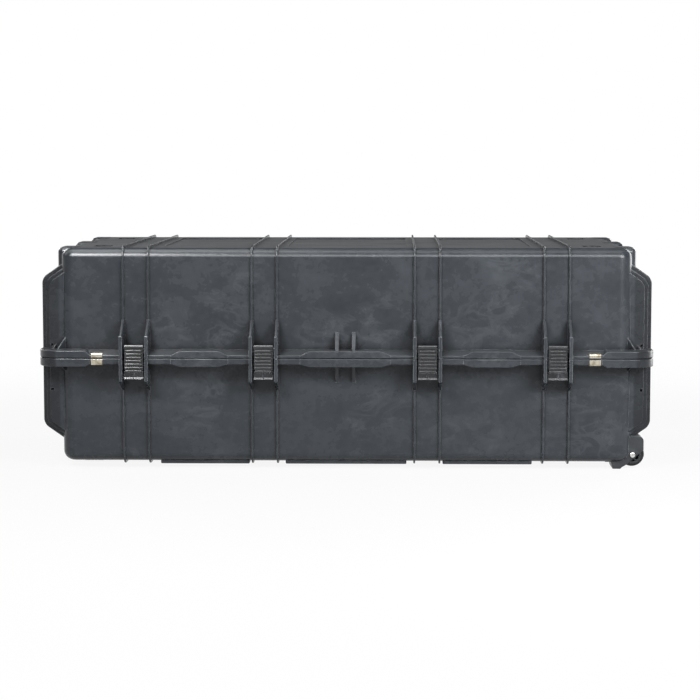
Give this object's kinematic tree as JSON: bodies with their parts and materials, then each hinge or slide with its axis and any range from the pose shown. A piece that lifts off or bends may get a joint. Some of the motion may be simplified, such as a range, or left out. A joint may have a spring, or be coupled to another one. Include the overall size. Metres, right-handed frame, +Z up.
{
  "type": "hard protective case",
  "caption": "Long wheeled hard transport case: two ribbed moulded shells on pinned hinges, lever latches with hooks, a rubber seal, fold-down end handles and corner wheels.",
  "frame": {"origin": "centre of the underside of the overall box, on the ground", "axes": "+X along the length towards the wheeled end, -Y towards the latches, +Z up"},
  "size_m": [1.148, 0.644, 0.4205],
  "materials": {
    "shell": "satin charcoal with a fine moulded grain",
    "fitting": "satin dark grey",
    "rubber": "matte black",
    "tyre": "matte black",
    "steel": "stainless steel, faintly warm"
  },
  "bodies": {
    "base": {"base_shell": "shell", "hinge_pin_1": "steel", "hinge_pin_2": "steel", "hinge_pin_3": "steel", "hinge_pin_4": "steel", "padlock_plate_base_left": "steel", "padlock_plate_base_right": "steel", "handle_rod_left": "steel", "handle_rod_right": "steel", "wheel_housing_front": "fitting", "wheel_housing_back": "fitting", "wheel_axle_bolt_front": "steel", "wheel_axle_bolt_back": "steel", "wheel_axle_nut_front": "steel", "wheel_axle_nut_back": "steel", "foot_front": "rubber", "foot_back": "rubber", "valve_body": "fitting", "valve_cap": "fitting", "valve_seal": "rubber", "valve_nut": "fitting"},
    "lid": {"lid_shell": "shell", "lid_seal": "rubber", "padlock_plate_lid_left": "steel", "padlock_plate_lid_right": "steel", "latch_pin_1": "steel", "latch_pin_2": "steel", "latch_pin_3": "steel", "latch_pin_4": "steel"},
    "latch_1": {"latch_lever_1": "fitting", "hook_pin_1": "steel"},
    "latch_2": {"latch_lever_2": "fitting", "hook_pin_2": "steel"},
    "latch_3": {"latch_lever_3": "fitting", "hook_pin_3": "steel"},
    "latch_4": {"latch_lever_4": "fitting", "hook_pin_4": "steel"},
    "hook_1": {"latch_hook_1": "fitting"},
    "hook_2": {"latch_hook_2": "fitting"},
    "hook_3": {"latch_hook_3": "fitting"},
    "hook_4": {"latch_hook_4": "fitting"},
    "left_handle": {"handle_left": "fitting"},
    "right_handle": {"handle_right": "fitting"},
    "front_wheel": {"wheel_tyre_front": "tyre", "wheel_hub_front": "fitting", "wheel_bushing_front": "steel"},
    "back_wheel": {"wheel_tyre_back": "tyre", "wheel_hub_back": "fitting", "wheel_bushing_back": "steel"}
  },
  "joints": [
    {"name": "lid_open", "type": "hinge", "parent": "base", "child": "lid", "pos_m": [0, 0.3165, 0.2125], "axis": [-1, 0, 0], "range_deg": [0, 100]},
    {"name": "latch_1_open", "type": "hinge", "parent": "lid", "child": "latch_1", "pos_m": [-0.3935, -0.307, 0.2295], "axis": [-1, 0, 0], "range_deg": [0, 110]},
    {"name": "latch_2_open", "type": "hinge", "parent": "lid", "child": "latch_2", "pos_m": [-0.1523, -0.307, 0.2295], "axis": [-1, 0, 0], "range_deg": [0, 110]},
    {"name": "latch_3_open", "type": "hinge", "parent": "lid", "child": "latch_3", "pos_m": [0.1523, -0.307, 0.2295], "axis": [-1, 0, 0], "range_deg": [0, 110]},
    {"name": "latch_4_open", "type": "hinge", "parent": "lid", "child": "latch_4", "pos_m": [0.3935, -0.307, 0.2295], "axis": [-1, 0, 0], "range_deg": [0, 110]},
    {"name": "hook_1_turn", "type": "hinge", "parent": "latch_1", "child": "hook_1", "pos_m": [-0.3935, -0.308, 0.2025], "axis": [-1, 0, 0], "range_deg": [0, 15]},
    {"name": "hook_2_turn", "type": "hinge", "parent": "latch_2", "child": "hook_2", "pos_m": [-0.1523, -0.308, 0.2025], "axis": [-1, 0, 0], "range_deg": [0, 15]},
    {"name": "hook_3_turn", "type": "hinge", "parent": "latch_3", "child": "hook_3", "pos_m": [0.1523, -0.308, 0.2025], "axis": [-1, 0, 0], "range_deg": [0, 15]},
    {"name": "hook_4_turn", "type": "hinge", "parent": "latch_4", "child": "hook_4", "pos_m": [0.3935, -0.308, 0.2025], "axis": [-1, 0, 0], "range_deg": [0, 15]},
    {"name": "left_handle_swing", "type": "hinge", "parent": "base", "child": "left_handle", "pos_m": [-0.553, 0, 0.1495], "axis": [0, 1, 0], "range_deg": [0, 95]},
    {"name": "right_handle_swing", "type": "hinge", "parent": "base", "child": "right_handle", "pos_m": [0.553, 0, 0.1495], "axis": [0, -1, 0], "range_deg": [0, 95]},
    {"name": "front_wheel_spin", "type": "hinge", "parent": "base", "child": "front_wheel", "pos_m": [0.539, -0.234, 0.027], "axis": [0, 1, 0], "continuous": true},
    {"name": "back_wheel_spin", "type": "hinge", "parent": "base", "child": "back_wheel", "pos_m": [0.539, 0.234, 0.027], "axis": [0, 1, 0], "continuous": true}
  ],
  "couplings": [
    {"joint": "hook_1_turn", "follows": "latch_1_open", "ratio": 0.136},
    {"joint": "hook_2_turn", "follows": "latch_2_open", "ratio": 0.136},
    {"joint": "hook_3_turn", "follows": "latch_3_open", "ratio": 0.136},
    {"joint": "hook_4_turn", "follows": "latch_4_open", "ratio": 0.136}
  ]
}
